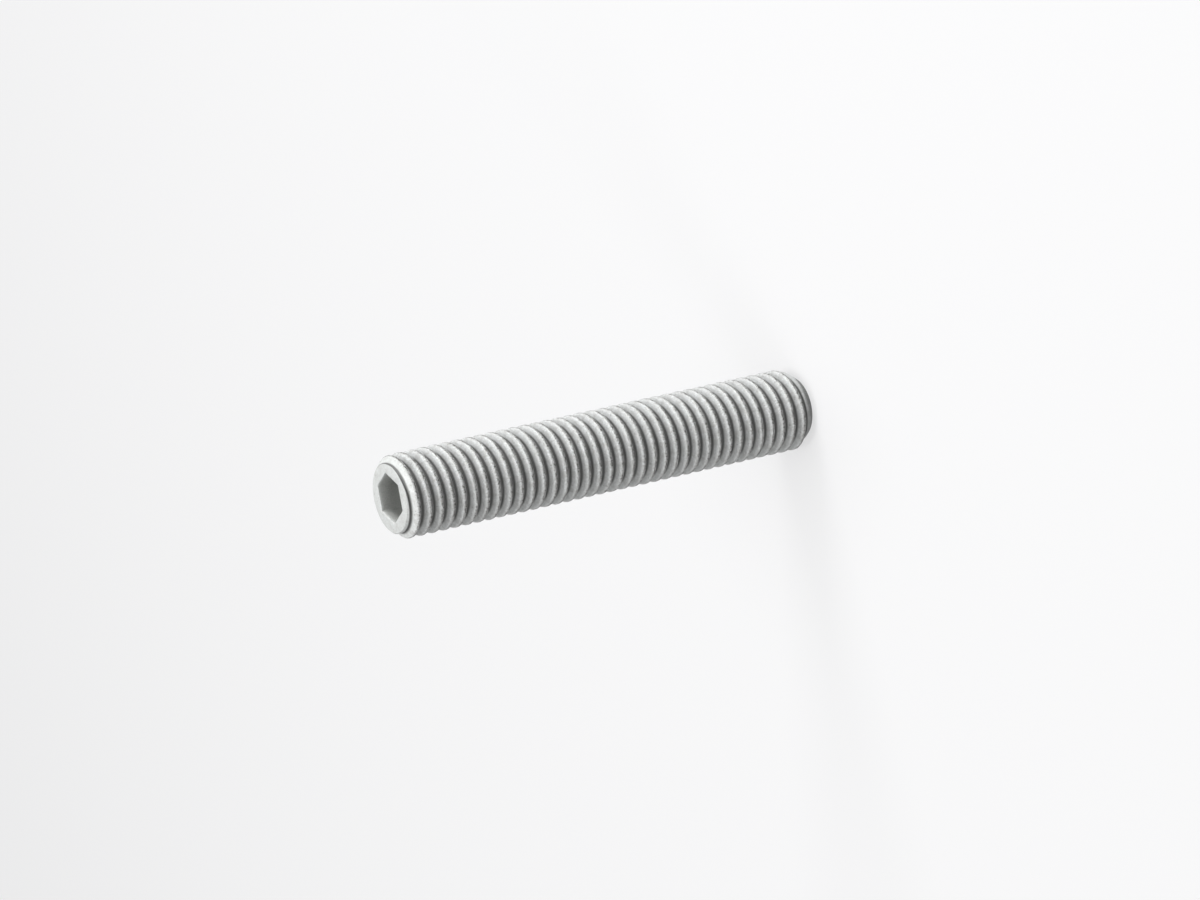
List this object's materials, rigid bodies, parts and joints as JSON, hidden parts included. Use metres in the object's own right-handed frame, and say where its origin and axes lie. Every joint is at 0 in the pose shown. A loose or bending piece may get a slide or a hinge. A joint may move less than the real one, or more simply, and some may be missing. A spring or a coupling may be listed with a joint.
{
  "type": "stud bolt",
  "caption": "Fully threaded steel stud with a hexagon socket in one end, a chamfered flat point at the other and a matt grey zinc-flake coat.",
  "frame": {"origin": "centre of the flat point's face, on the axis of the thread; the stud stands on that face at z = 0", "axes": "+Z along the axis of the thread, from the flat point to the socket; +X towards a corner of the hexagon socket; +Y completes a right-handed frame"},
  "size_m": [0.0098, 0.0098, 0.0555],
  "materials": {
    "zinc_flake": "matt zinc-flake coat on steel, slightly grainy"
  },
  "bodies": {
    "root": {"stud": "zinc_flake"}
  },
  "joints": []
}
